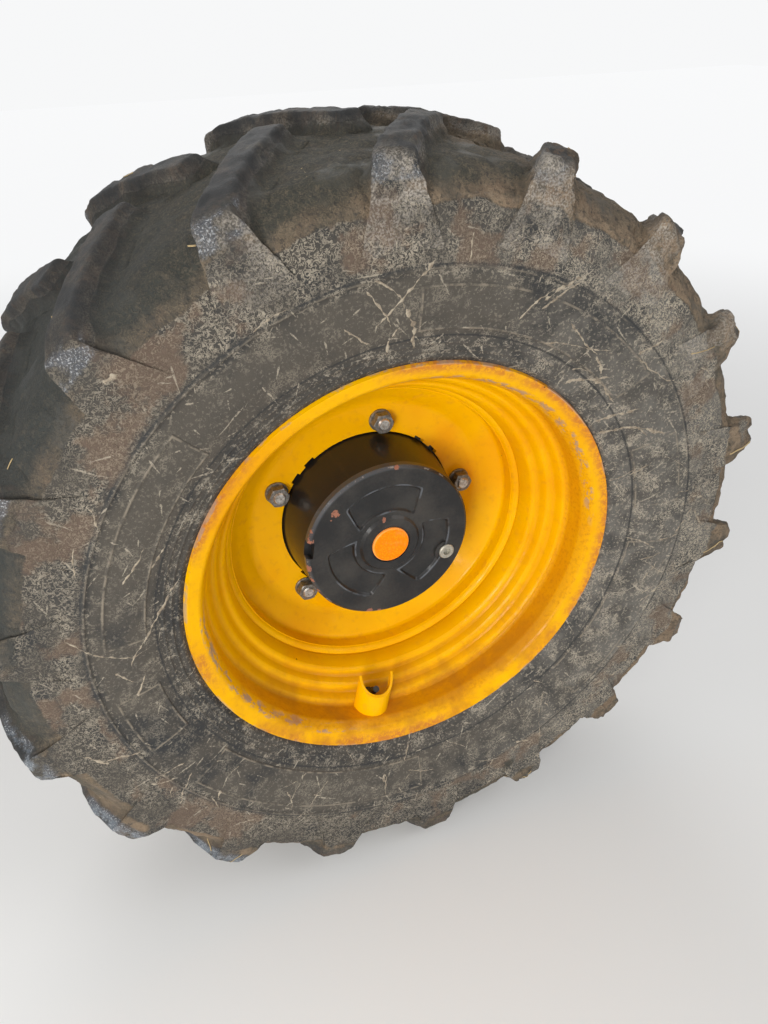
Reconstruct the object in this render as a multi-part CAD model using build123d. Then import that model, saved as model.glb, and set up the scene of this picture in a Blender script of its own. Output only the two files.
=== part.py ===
import os
from math import cos, radians, sin, tan

from build123d import *

os.makedirs("parts", exist_ok=True)

# Driven wheel of a telehandler with its planetary hub, on the spindle that carries it. Millimetres.
# The wheel turns about Y, the outside of the machine is towards -Y and Z is up. The origin is on
# the wheel's axis, on the inboard face of the spindle's flange. A depth is measured inboard from
# the rim's outer lip, and an angle from +X towards +Z, as seen from outside the machine.

# Places along the axis
lip_to_mount = 300.0          # rim's outer lip to the spindle's flange face
rim_width = 358.0             # lip to lip
disc_depth = 195.0            # outer face of the disc, under the nuts
cover_depth = 99.0            # outer face of the hub cover

# Rim
lip_radius = 330.5
seat_radius = 300.0           # hub side of the bead seat
rim_wall = 6.0
flange_curl = 9.0             # height over the seat at which the flange's curl starts
flange_rise = 9.0             # depth of the curl
seat_start = 26.0             # depth at which the bead seat starts
step_start = 60.0             # depth of the first step
step_pitch = 20.0             # from one step's edge to the next
step_drop = (8.0, 10.0, 10.0)           # fall of each step's riser
step_slope = (7.0, 7.0, 8.0)            # fall of the tread after it
riser_run = 4.0               # depth that a riser takes
last_tread = 26.0             # depth of the last tread, down to the well
seat_edge_round = 7.0
step_round = 9.0
well_end = 212.0              # depth at which the well ends
well_rise = 50.0              # depth of the slope from the well up to the inboard seat

# Disc
disc_wall = 10.0
disc_flat_radius = 200.0      # end of the flat face
disc_skirt_depth = 166.0      # where the dish meets the skirt
disc_skirt_end = 143.0        # outer edge of the skirt
disc_bore_radius = 147.5
bore_notch_width = 19.0
bore_notch_depth = 4.0
bore_notch_angles = [base + side for base in (45, 135, 225, 315) for side in (-6.5, 6.5)]
weld_leg = 9.0
stud_count = 5
stud_circle_radius = 167.5
stud_first_angle = 81.0
stud_hole_radius = 11.0

# Studs and nuts
stud_radius = 10.0
stud_head_radius = 16.0
stud_head_height = 8.0
thread_clearance = 0.05
collar_radius = 18.5
collar_height = 4.0
nut_across_flats = 30.0
nut_height = 15.0
stud_past_nut = 2.5

# Hub
hub_front_radius = 135.5
drum_draft = 10.5             # growth of the drum's radius from the cover to the disc
hub_flange_radius = 192.0
hub_flange_thickness = 22.0
bearing_housing_radius = 118.0
bearing_housing_taper = 10.0
hub_to_spindle_flange = 10.0

# Hub cover
cover_thickness = 14.0
cover_bevel = 3.5
boss_radius = 50.0
boss_height = 4.0
pocket_angles = (94.0, 214.0, 334.0)
pocket_depth = 4.0
pocket_draft = 40.0
pocket_inner_radius = 58.0
pocket_outer_radius = 102.0
pocket_inner_half_angle = 51.0
pocket_outer_half_angle = 37.0
pocket_corner = 7.0
cover_notch_angle = 171.0
cover_notch_width = 28.0
cover_notch_reach = 11.0

# Plug and reflector
plug_angle = -24.4
plug_place_radius = 108.7
plug_boss_radius = 20.0
plug_radius = 13.0
plug_head_height = 3.0
plug_shank_radius = 10.0
plug_socket_flats = 12.0
plug_socket_depth = 6.0
reflector_radius = 30.0
reflector_height = 3.0
reflector_seat_radius = 33.0
reflector_seat_depth = 2.0

# Spindle and drive shaft
spindle_flange_radius = 125.0
spindle_flange_thickness = 20.0
spigot_radius = 70.0
spigot_height = 8.0
mount_bolt_count = 10
mount_bolt_circle_radius = 103.0
mount_hole_radius = 8.75
inner_journal_radius = 70.0
inner_journal_end = 84.0      # from the mount face
outer_journal_radius = 60.0
outer_journal_end = 140.0
spindle_end = 150.0
spindle_end_radius = 50.0
land_length = 30.0
journal_room = 6.0            # between a journal and the hub away from the lands
chamber_room = 12.0           # past the end of the spindle
running_clearance = 0.05
seal_radius = 90.0
seal_thickness = 5.0
shaft_radius = 25.0
shaft_land_length = 40.0
shaft_room = 6.0              # around the shaft between its lands
shaft_shoulder = 20.0         # from the mount face, inboard
shaft_overhang = 5.0          # past the outboard end of the spindle
spline_radius = 22.0
spline_root_radius = 19.5
spline_teeth = 18
spline_length = 50.0

# Valve and its guard
valve_angle = -101.5
guard_radius = 30.0
guard_wall = 4.0
guard_depth = 58.0            # axis of the half tube
guard_front_height = 41.0
guard_side_height = 51.0      # half way to the back
guard_horn_height = 69.0
valve_base = (289.0, 72.0)    # radius and depth
valve_tip = (257.0, 47.0)
valve_foot_radius = 11.0
valve_stem_radius = 7.0
valve_cap_radius = 5.5

# Tyre
tyre_width = 420.0
tread_radius = 600.0
bead_gap = 0.3
casing_crown = 27.0           # from the tread's radius down to the casing, in the middle
cavity_crown = 49.0           # from there down to the cavity
shoulder_drop = 22.0          # from there down to the outer corner of a lug
chamfer_length = 23.0         # of the worn corner, down the lug's end
lugs_per_side = 18
lug_first_angle = 33.0
lug_height = 142.0            # from the plane in which a lug's outline is drawn down to its foot
lug_draft = 15.0
lug_half_width = 14.7
lug_slant = 0.634             # along the tread for each unit across it
lug_bends = (16.0, 11.0)      # depths at which the two flanks turn to the slant
lug_past_middle = 4.0
lug_nose = (13.0, 16.0)       # across and along the tread

# Worked out from the above
well_radius = seat_radius - sum(step_drop) - sum(step_slope)
flange_radius = seat_radius + flange_curl
tyre_bulge = (tyre_width - rim_width) / 2
centre_depth = rim_width / 2
tyre_start = centre_depth - tyre_width / 2
disc_back = disc_depth + disc_wall
cover_back = cover_depth + cover_thickness
drum_base_radius = hub_front_radius + drum_draft
hub_flange_back = disc_back + hub_flange_thickness
skirt_radius = well_radius - disc_wall
lug_top_radius = tread_radius + 12


def up_side(share):
    """Radius at a share of the sidewall's height, from the rim's lip to the tread."""
    return lip_radius + share * (tread_radius - lip_radius)


casing_outline = [            # radius, depth from the tyre's outermost point, corner radius
    (lip_radius + 1.5, tyre_bulge + 8, 0),
    (lip_radius + 15.5, tyre_bulge + 2, 10),
    (up_side(0.265), 12, 120),
    (up_side(0.488), 3, 120),
    (up_side(0.733), 7, 12),
    (tread_radius - casing_crown - 11, 42, 50),
    (tread_radius - casing_crown, tyre_width / 2, 400),
]
cavity_outline = [
    (seat_radius - 4, tyre_bulge + 65, 0),
    (seat_radius + 38, tyre_bulge + 49, 20),
    (up_side(0.213), 38, 60),
    (up_side(0.462), 22, 90),
    (up_side(0.647), 30, 50),
    (tread_radius - cavity_crown - 17, 66, 50),
    (tread_radius - cavity_crown, tyre_width / 2, 400),
]
lug_envelope = [              # radius, depth from the tyre's outermost point
    (up_side(0.406), 14),
    (up_side(0.518), 4),
    (up_side(0.722), 0),
    (tread_radius - shoulder_drop - chamfer_length, 2),
    (tread_radius - shoulder_drop, 9),
    (tread_radius - 9, 44),
    (tread_radius - 2, 120),
    (tread_radius, tyre_width / 2),
]


def axial(depth):
    return depth - lip_to_mount


def around(radius, angle, y=0.0):
    return Vector(radius * cos(radians(angle)), y, radius * sin(radians(angle)))


def radial_plane(radius, angle, y):
    """Plane square to the radius, with its x along the wheel's axis and its y along the tread."""
    return Plane(origin=around(radius, angle, y), x_dir=(0, 1, 0), z_dir=around(1, angle))


def facing_out(y):
    """Plane square to the axis whose normal points outboard, with its y up."""
    return Plane(origin=(0, y, 0), x_dir=(1, 0, 0), z_dir=(0, -1, 0))


def turned(edges):
    return revolve(make_face(edges), Axis.Y)


def turned_points(points):
    return turned(Polyline(*points, close=True))


def outline(rows, place):
    """Open outline through (radius, depth, corner radius) rows, with place giving y from a depth."""
    points = [(radius, place(depth)) for radius, depth, _ in rows]
    return FilletPolyline(*points, radius=[corner for _, _, corner in rows[1:-1]])


def across(rows):
    """Rows from one side of the tyre to its middle, followed by their mirror image."""
    return rows + [(radius, tyre_width - depth, *rest) for radius, depth, *rest in reversed(rows[:-1])]


def drilled(places, radius, start, end):
    """Cylinders along the wheel's axis at the given places, to cut or to keep."""
    cylinder = Pos(0, (start + end) / 2, 0) * Rot(90, 0, 0) * Cylinder(radius, end - start)
    return [Pos(place.X, 0, place.Z) * cylinder for place in places]


def rim_rows():
    rows = [
        (lip_radius, 0.0, 0),
        (flange_radius, flange_rise, 14),
        (seat_radius, seat_start, 10),
        (seat_radius, step_start, seat_edge_round),
    ]
    radius, depth = seat_radius, step_start
    for number, (drop, slope) in enumerate(zip(step_drop, step_slope)):
        last = number == len(step_drop) - 1
        radius, depth = radius - drop, depth + riser_run
        rows.append((radius, depth, step_round))
        radius, depth = radius - slope, depth + (last_tread if last else step_pitch - riser_run)
        rows.append((radius, depth, step_round))
    return rows + [
        (well_radius, well_end, 20),
        (seat_radius, well_end + well_rise, 12),
        (seat_radius, rim_width - seat_start, 10),
        (flange_radius, rim_width - flange_rise, 14),
        (lip_radius, rim_width, 0),
    ]


def tyre_place(depth):
    return axial(tyre_start + depth)


stud_places = [around(stud_circle_radius, stud_first_angle + 360 / stud_count * k) for k in range(stud_count)]


def inside_of(line):
    """Everything between an open outline and the axis."""
    first, last = line @ 0, line @ 1
    return turned([line, Polyline(first, (0, first.Y), (0, last.Y), last)])


def wall_between(line, back):
    """Ring between an open outline and its offset, whichever way the offset runs."""
    same_way = (back @ 0 - line @ 0).length < (back @ 1 - line @ 0).length
    first, last = (0, 1) if same_way else (1, 0)
    return turned([line, back, Line(line @ 0, back @ first), Line(line @ 1, back @ last)])


rim_line = Wire(outline(rim_rows(), axial).edges())
rim_back_line = rim_line.offset_2d(rim_wall, side=Side.RIGHT, closed=False)
bead_line = rim_line.offset_2d(rim_wall + bead_gap, side=Side.RIGHT, closed=False)
dish_space = inside_of(rim_line)


def make_rim():
    return wall_between(rim_line, rim_back_line)


def make_wheel_disc():
    """Flat nut face, dish and skirt, with the weld that joins the skirt to the rim's well."""
    face = [
        (disc_bore_radius, axial(disc_depth), 0),
        (disc_flat_radius, axial(disc_depth), 25),
        (skirt_radius, axial(disc_skirt_depth), 9),
        (skirt_radius, axial(disc_skirt_end), 0),
    ]
    line = FilletPolyline(*[row[:2] for row in face], radius=[row[2] for row in face[1:-1]])
    front = Wire(line.edges())
    disc = wall_between(front, front.offset_2d(disc_wall, side=Side.LEFT, closed=False))
    toe = (well_radius, axial(disc_skirt_end - weld_leg))
    heel = (well_radius, axial(disc_skirt_end))
    root = (skirt_radius + disc_wall - weld_leg, axial(disc_skirt_end))
    bulge = (well_radius - 0.62 * weld_leg, axial(disc_skirt_end - 0.62 * weld_leg))
    disc += turned([Line(toe, heel), Line(heel, root), ThreePointArc(root, bulge, toe)])
    disc -= drilled(stud_places, stud_hole_radius, axial(disc_depth) - 1, axial(disc_back) + 1)
    for angle in bore_notch_angles:
        notch = Box(2 * bore_notch_depth, 3 * disc_wall, bore_notch_width)
        place = around(disc_bore_radius, angle, axial(disc_depth + disc_wall / 2))
        disc -= Pos(*place) * Rot(0, -angle, 0) * notch
    return disc


def make_hub():
    front, disc_face, back = axial(cover_back), axial(disc_back), axial(hub_flange_back)
    mouth = -spindle_flange_thickness - hub_to_spindle_flange
    inner_land = (-inner_journal_end + journal_room, -inner_journal_end + journal_room + land_length)
    outer_land = (-outer_journal_end, -outer_journal_end + land_length)
    chamber_end = -spindle_end - chamber_room
    inner, outer = inner_journal_radius + running_clearance, outer_journal_radius + running_clearance
    relief = inner_journal_radius + journal_room
    hub = turned_points([
        (0, front),
        (hub_front_radius, front),
        (drum_base_radius, disc_face),
        (hub_flange_radius, disc_face),
        (hub_flange_radius, back),
        (bearing_housing_radius, back),
        (bearing_housing_radius - bearing_housing_taper, mouth),
        (relief, mouth),
        (relief, inner_land[1]),
        (inner, inner_land[1]),
        (inner, inner_land[0]),
        (relief, inner_land[0]),
        (relief, outer_land[1]),
        (outer, outer_land[1]),
        (outer, outer_land[0]),
        (outer_journal_radius + journal_room, outer_land[0]),
        (outer_journal_radius + journal_room, chamber_end),
        (0, chamber_end),
    ])
    return hub - drilled(stud_places, stud_radius + thread_clearance, disc_face - 1, back + 1)


def pocket_face(inset):
    """Sector between the boss and the edge of the cover, wider in angle at its inner end."""
    def at(radius, half_angle):
        angle = radians(half_angle) - inset / radius * (1 if half_angle > 0 else -1 if half_angle < 0 else 0)
        return radius * sin(angle), radius * cos(angle)

    low, high = pocket_inner_radius + inset, pocket_outer_radius - inset
    inner, outer = pocket_inner_half_angle, pocket_outer_half_angle
    a, b, c, d = at(low, -inner), at(high, -outer), at(high, outer), at(low, inner)
    sector = make_face([Line(a, b), ThreePointArc(b, at(high, 0), c), Line(c, d), ThreePointArc(d, at(low, 0), a)])
    return fillet(sector.vertices(), pocket_corner - inset / 2)


def make_pocket(front):
    floor_inset = pocket_depth * tan(radians(pocket_draft))
    mouth = facing_out(front) * pocket_face(0)
    return loft([mouth, facing_out(front + pocket_depth) * pocket_face(floor_inset)])


def make_hub_cover():
    front, back = axial(cover_depth), axial(cover_back)
    boss_front = front - boss_height
    cover = turned_points([
        (0, boss_front),
        (boss_radius - boss_height, boss_front),
        (boss_radius, front),
        (hub_front_radius - cover_bevel, front),
        (hub_front_radius, front + cover_bevel),
        (hub_front_radius, back),
        (0, back),
    ])
    pocket = make_pocket(front)
    plug_place = around(plug_place_radius, plug_angle)
    cover -= [Rot(0, 90 - angle, 0) * pocket for angle in pocket_angles]
    cover += drilled([plug_place], plug_boss_radius, front, front + 2 * pocket_depth)
    cover -= Pos(0, boss_front, 0) * Rot(90, 0, 0) * Cylinder(reflector_seat_radius, 2 * reflector_seat_depth)
    cover -= drilled([plug_place], plug_shank_radius + thread_clearance, front - 1, back + 1)
    notch = Box(2 * cover_notch_reach, 3 * cover_thickness, cover_notch_width)
    return cover - Pos(*around(hub_front_radius, cover_notch_angle, front)) * Rot(0, -cover_notch_angle, 0) * notch


def make_drain_plug():
    front = axial(cover_depth)
    plug = turned_points([
        (0, front - plug_head_height),
        (plug_radius - 1.5, front - plug_head_height),
        (plug_radius, front - plug_head_height + 1.5),
        (plug_radius, front),
        (plug_shank_radius, front),
        (plug_shank_radius, front + cover_thickness - 1),
        (0, front + cover_thickness - 1),
    ])
    socket = RegularPolygon(plug_socket_flats / 2, 6, major_radius=False)
    plug -= extrude(facing_out(front - plug_head_height) * socket, -plug_socket_depth)
    return Pos(*around(plug_place_radius, plug_angle)) * plug


def make_reflector():
    seat = axial(cover_depth) - boss_height + reflector_seat_depth
    front = seat - reflector_seat_depth - reflector_height
    return turned_points([
        (0, front),
        (reflector_radius - 2, front),
        (reflector_radius, front + 2),
        (reflector_radius, seat),
        (0, seat),
    ])


def make_wheel_studs():
    nut_end = axial(disc_depth) - collar_height - nut_height
    back = axial(hub_flange_back)
    stud = turned_points([
        (0, nut_end - stud_past_nut),
        (stud_radius - 2, nut_end - stud_past_nut),
        (stud_radius, nut_end - stud_past_nut + 2),
        (stud_radius, back),
        (stud_head_radius, back),
        (stud_head_radius, back + stud_head_height),
        (0, back + stud_head_height),
    ])
    return [Pos(*place) * stud for place in stud_places]


def make_nut_collars():
    face = axial(disc_depth)
    collar = turned_points([
        (stud_radius + thread_clearance, face),
        (collar_radius, face),
        (collar_radius, face - collar_height + 1),
        (collar_radius - 1, face - collar_height),
        (stud_radius + thread_clearance, face - collar_height),
    ])
    return [Pos(*place) * collar for place in stud_places]


def make_wheel_nuts():
    seat = axial(disc_depth) - collar_height
    hexagon = RegularPolygon(nut_across_flats / 2, 6, major_radius=False)
    nut = extrude(facing_out(seat) * hexagon, nut_height)
    corner = nut_across_flats / 2 / cos(radians(30))
    chamfer_run = (corner - nut_across_flats / 2) * tan(radians(35))
    nut &= turned_points([
        (0, seat),
        (corner, seat),
        (corner, seat - nut_height + chamfer_run),
        (nut_across_flats / 2, seat - nut_height),
        (0, seat - nut_height),
    ])
    nut -= drilled([Vector(0, 0, 0)], stud_radius + thread_clearance, seat - nut_height - 1, seat + 1)
    return [Pos(*place) * nut for place in stud_places]


def make_valve_guard():
    """Half tube that stands on the rim's ledge with its back to the lip, its two ends left as horns."""
    top = seat_radius - guard_horn_height
    half = Circle(guard_radius) - Circle(guard_radius - guard_wall)
    half -= Pos(guard_radius, 0) * Rectangle(2 * guard_radius, 3 * guard_radius)
    plane = radial_plane(top, valve_angle, axial(guard_depth))
    guard = extrude(plane * half, guard_horn_height + 10)
    front, back = -guard_radius - 1, 1
    low, half_low = guard_front_height - guard_horn_height, guard_side_height - guard_horn_height
    edge = ThreePointArc((front, low), (front / 2, half_low), (back, 0))
    over = Polyline((back, 0), (back, 5), (front, 5), (front, low))
    side = Plane(origin=plane.origin, x_dir=(0, 1, 0), z_dir=around(1, valve_angle + 90))
    guard -= extrude(side * make_face([edge, over]), guard_radius + 5, both=True)
    return guard & dish_space


def make_valve_stem():
    base, tip = [around(radius, valve_angle, axial(depth)) for radius, depth in (valve_base, valve_tip)]
    length = (tip - base).length
    profile = turned_points([
        (0, -12),
        (valve_foot_radius, -12),
        (valve_foot_radius, 2),
        (valve_stem_radius, 8),
        (valve_stem_radius, length - 16),
        (valve_cap_radius, length - 15),
        (valve_cap_radius, length),
        (0, length),
    ])
    along = Plane(origin=base, x_dir=around(1, valve_angle + 90), z_dir=tip - base)
    return along * (Rot(90, 0, 0) * profile) & dish_space


def make_spindle():
    spindle = turned_points([
        (shaft_radius + running_clearance, spigot_height),
        (spigot_radius, spigot_height),
        (spigot_radius, 0),
        (spindle_flange_radius, 0),
        (spindle_flange_radius, -spindle_flange_thickness),
        (inner_journal_radius, -spindle_flange_thickness),
        (inner_journal_radius, -inner_journal_end),
        (outer_journal_radius, -inner_journal_end - journal_room),
        (outer_journal_radius, -outer_journal_end),
        (spindle_end_radius, -outer_journal_end),
        (spindle_end_radius, -spindle_end),
        (shaft_radius + running_clearance, -spindle_end),
        (shaft_radius + running_clearance, -spindle_end + shaft_land_length),
        (shaft_radius + shaft_room, -spindle_end + shaft_land_length),
        (shaft_radius + shaft_room, spigot_height - shaft_land_length),
        (shaft_radius + running_clearance, spigot_height - shaft_land_length),
    ])
    holes = [around(mount_bolt_circle_radius, 360 / mount_bolt_count * k) for k in range(mount_bolt_count)]
    return spindle - drilled(holes, mount_hole_radius, -spindle_flange_thickness - 1, 1)


def make_spindle_seal():
    face = -spindle_flange_thickness
    return turned_points([
        (inner_journal_radius, face),
        (seal_radius, face),
        (seal_radius, face - seal_thickness + 1),
        (seal_radius - 1, face - seal_thickness),
        (inner_journal_radius, face - seal_thickness),
    ])


def make_drive_shaft():
    """Shaft through the spindle, with a splined end on the inboard side."""
    shaft = turned_points([
        (0, shaft_shoulder),
        (shaft_radius - 2, shaft_shoulder),
        (shaft_radius, shaft_shoulder - 2),
        (shaft_radius, -spindle_end - shaft_overhang),
        (0, -spindle_end - shaft_overhang),
    ])
    pitch = 360 / spline_teeth
    tooth = [(spline_root_radius, -0.3), (spline_radius, -0.2), (spline_radius, 0.2), (spline_root_radius, 0.3)]
    corners = []
    for k in range(spline_teeth):
        for radius, share in tooth:
            angle = radians(pitch * (k + share))
            corners.append((radius * cos(angle), radius * sin(angle)))
    splines = make_face(Polyline(*corners, close=True))
    return shaft + extrude(facing_out(shaft_shoulder) * splines, -spline_length)


def lug_outline():
    """Outline of a lug in the plane above the tread: depth and place along the tread."""
    start, end = -shoulder_drop, tyre_width / 2 + lug_past_middle
    turn, back_turn = lug_bends
    across_nose, along_nose = lug_nose
    place = lug_half_width - lug_slant * (end - turn)
    back_end = end - across_nose
    return [
        (start, lug_half_width),
        (turn, lug_half_width),
        (end, place),
        (end, place - along_nose),
        (back_end, -lug_half_width - lug_slant * (back_end - back_turn)),
        (back_turn, -lug_half_width),
        (start, -lug_half_width),
    ]


def make_tyre():
    """Hollow casing with slanting lugs from both shoulders to past the middle."""
    casing = inside_of(outline(across(casing_outline), tyre_place))
    envelope = inside_of(Polyline(*[(radius, tyre_place(depth)) for radius, depth in across(lug_envelope)]))
    plane = radial_plane(lug_top_radius, 0, tyre_place(0))
    bar = extrude(plane * make_face(Polyline(*lug_outline(), close=True)), -lug_height, taper=-lug_draft)
    near = bar & envelope
    middle = Plane(origin=(0, axial(centre_depth), 0), x_dir=(1, 0, 0), z_dir=(0, 1, 0))
    far = mirror(near, about=middle)
    pitch = 360 / lugs_per_side
    tyre = casing
    for lug, shift in ((near, 0), (far, pitch / 2)):
        tyre += [Rot(0, -(lug_first_angle + shift + pitch * k), 0) * lug for k in range(lugs_per_side)]
    return tyre - inside_of(outline(across(cavity_outline), tyre_place)) - inside_of(bead_line)


nodes = {
    "spindle": make_spindle,
    "spindle_seal": make_spindle_seal,
    "drive_shaft": make_drive_shaft,
    "hub": make_hub,
    "hub_cover": make_hub_cover,
    "drain_plug": make_drain_plug,
    "reflector": make_reflector,
    "wheel_studs": make_wheel_studs,
    "nut_collars": make_nut_collars,
    "wheel_nuts": make_wheel_nuts,
    "wheel_disc": make_wheel_disc,
    "rim": make_rim,
    "valve_guard": make_valve_guard,
    "valve_stem": make_valve_stem,
    "tyre": make_tyre,
}

for name, make in nodes.items():
    shape = make()
    solids = shape if isinstance(shape, list) else shape.solids()
    export_step(solids[0] if len(solids) == 1 else Compound(children=list(solids)), f"parts/{name}.step")
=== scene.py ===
import math
import random
from types import SimpleNamespace as Plan

import bpy
import numpy as np
from mathutils import Matrix, Vector, noise
from mathutils.bvhtree import BVHTree


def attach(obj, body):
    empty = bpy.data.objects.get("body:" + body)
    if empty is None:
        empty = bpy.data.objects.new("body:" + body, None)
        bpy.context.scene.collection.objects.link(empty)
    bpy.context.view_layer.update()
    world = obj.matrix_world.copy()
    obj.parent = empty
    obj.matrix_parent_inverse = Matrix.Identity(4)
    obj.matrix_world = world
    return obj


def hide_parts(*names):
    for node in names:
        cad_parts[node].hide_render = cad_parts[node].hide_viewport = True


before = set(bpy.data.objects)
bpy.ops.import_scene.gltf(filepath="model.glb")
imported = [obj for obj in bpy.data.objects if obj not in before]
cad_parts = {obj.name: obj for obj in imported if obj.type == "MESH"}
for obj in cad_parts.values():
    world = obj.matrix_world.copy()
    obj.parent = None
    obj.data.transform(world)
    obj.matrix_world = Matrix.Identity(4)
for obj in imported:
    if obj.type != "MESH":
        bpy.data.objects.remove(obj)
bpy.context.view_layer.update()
scene = bpy.context.scene
scene.view_settings.view_transform = "Standard"
print("frame loaded")

# Telehandler wheel. Metres, wheel axis along Y, outside of the machine towards -Y, angles from +X
# towards +Z. A depth is measured inboard from the tyre's outermost point, as in the solids.
tyreStart = -0.331
tyreWidth = 0.420
tyreRadius = 0.600


camera = {
    "place": (-0.3569, -1.1156, 0.7005),
    "right": (0.928062, -0.371576, -0.025115),
    "up": (0.223120, 0.500743, 0.836346),
    "sensor": 36.0,
    "focalShare": 769 / 1024,       # focal length over the picture's longer side
}


def makeCamera(settings):
    data = bpy.data.cameras.new("camera")
    data.sensor_width = settings["sensor"]
    data.lens = settings["sensor"] * settings["focalShare"]
    data.clip_start, data.clip_end = 0.02, 100
    right, up = Vector(settings["right"]).normalized(), Vector(settings["up"]).normalized()
    back = right.cross(up)
    turn = Matrix((right, up, back)).transposed().to_4x4()
    made = bpy.data.objects.new("camera", data)
    made.matrix_world = Matrix.Translation(settings["place"]) @ turn
    scene.collection.objects.link(made)
    scene.camera = made


makeCamera(camera)


class Link:
    # one output socket; arithmetic on it adds the Math nodes
    def __init__(self, paint, socket):
        self.paint, self.socket = paint, socket

    def __add__(self, other):
        return self.paint.maths("ADD", self, other)

    def __sub__(self, other):
        return self.paint.maths("SUBTRACT", self, other)

    def __rsub__(self, other):
        return self.paint.maths("SUBTRACT", other, self)

    def __mul__(self, other):
        return self.paint.maths("MULTIPLY", self, other)

    def __truediv__(self, other):
        return self.paint.maths("DIVIDE", self, other)

    def __pow__(self, other):
        return self.paint.maths("POWER", self, other)

    def __abs__(self):
        return self.paint.maths("ABSOLUTE", self)

    __radd__ = __add__
    __rmul__ = __mul__

    def larger(self, other):
        return self.paint.maths("MAXIMUM", self, other)

    def step(self, low, high):
        # 0 below low and 1 above high, smooth between; high may be the smaller one
        places = {"Value": self, "From Min": low, "From Max": high}
        if low > high:
            places |= {"From Min": high, "From Max": low, "To Min": 1, "To Max": 0}
        return self.paint.node("MapRange", {"interpolation_type": "SMOOTHSTEP"}, places)

    def split(self):
        node = self.paint.node("SeparateXYZ", inputs={0: self}).socket.node
        return [Link(self.paint, socket) for socket in node.outputs]


class Paint:
    # a material or world being wired; every node comes from its node method
    def __init__(self, name, kind="materials", shader="Principled BSDF", **sockets):
        self.made = getattr(bpy.data, kind).new(name)
        self.made.use_nodes = True
        self.tree = self.made.node_tree
        self.shader = self.tree.nodes[shader]
        self.set(**sockets)

    def feed(self, socket, value):
        if isinstance(value, Link):
            self.tree.links.new(value.socket, socket)
        elif socket.type == "RGBA" and len(value) == 3:
            socket.default_value = (*value, 1)
        else:
            socket.default_value = value

    def set(self, **sockets):
        for name, value in sockets.items():
            self.feed(self.shader.inputs[name.replace("_", " ")], value)

    def node(self, kind, settings=None, inputs=None, output=0):
        made = self.tree.nodes.new("ShaderNode" + kind)
        for name, value in (settings or {}).items():
            setattr(made, name, value)
        for name, value in (inputs or {}).items():
            self.feed(made.inputs[name], value)
        return Link(self, made.outputs[output])

    def maths(self, operation, *values):
        return self.node("Math", {"operation": operation}, dict(enumerate(values)))

    def spot(self):
        return self.node("TexCoord", output="Object")

    def noise(self, size, detail=4.0, rough=0.55, stretch=None, warp=0.0):
        vector = self.spot()
        if stretch:
            vector = self.node("Mapping", inputs={"Vector": vector, "Scale": stretch})
        values = {"Vector": vector, "Scale": 1 / size, "Detail": detail, "Roughness": rough}
        return self.node("TexNoise", inputs=values | {"Distortion": warp})

    def cells(self, size):
        return self.node("TexVoronoi", inputs={"Vector": self.spot(), "Scale": 1 / size})

    def mix(self, share, first, second):
        inputs = {0: share, 6: first, 7: second}
        return self.node("Mix", {"data_type": "RGBA", "clamp_factor": True}, inputs, 2)

    def coat(self, share, colour):
        # lays one more colour over what is there, where share is above 0
        self.colour = self.mix(share, self.colour, colour)

    def wheelRadius(self):
        x, _, z = self.spot().split()
        return (x * x + z * z) ** 0.5

    def far(self, place):
        # distance from a given place
        return self.node("VectorMath", {"operation": "DISTANCE"}, {0: self.spot(), 1: place}, "Value")

    def bump(self, height, depth, strength=1.0):
        inputs = {"Height": height, "Distance": depth, "Strength": strength}
        normal = self.shader.inputs["Normal"]
        if normal.is_linked:
            inputs["Normal"] = Link(self, normal.links[0].from_socket)
        self.set(Normal=self.node("Bump", inputs=inputs))

    def seen(self):
        # 1 for what the camera sees, straight or in metal or glass
        outputs = self.node("LightPath").socket.node.outputs
        rays = ("Is Camera Ray", "Is Glossy Ray", "Is Transmission Ray")
        camera, glossy, through = (Link(self, outputs[ray]) for ray in rays)
        return camera.larger(glossy).larger(through)


# yellow paint of the rim, disc and valve guard
yellow = {
    "clean": (0.92, 0.475, 0.0),
    "shade": (0.86, 0.385, 0.0),        # warmer where dust has settled
    # colour of the painted shade in the hollows
    "groove": (0.62, 0.235, 0.0),
    "grooves": (0.300, 0.285, 0.268, 0.250),        # radii of the hollows between the rim's steps, where shade is painted
    "rub": (0.56, 0.185, 0.035),        # rust-coloured rubbing on the lip
    "scuff": (0.36, 0.29, 0.25),        # grey scuffs through the paint
    "speck": (0.05, 0.02, 0.01),
    "dust": (0.50, 0.18, 0.008),
    "grime": (0.42, 0.16, 0.015),
    "roughness": 0.34,
}


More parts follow.
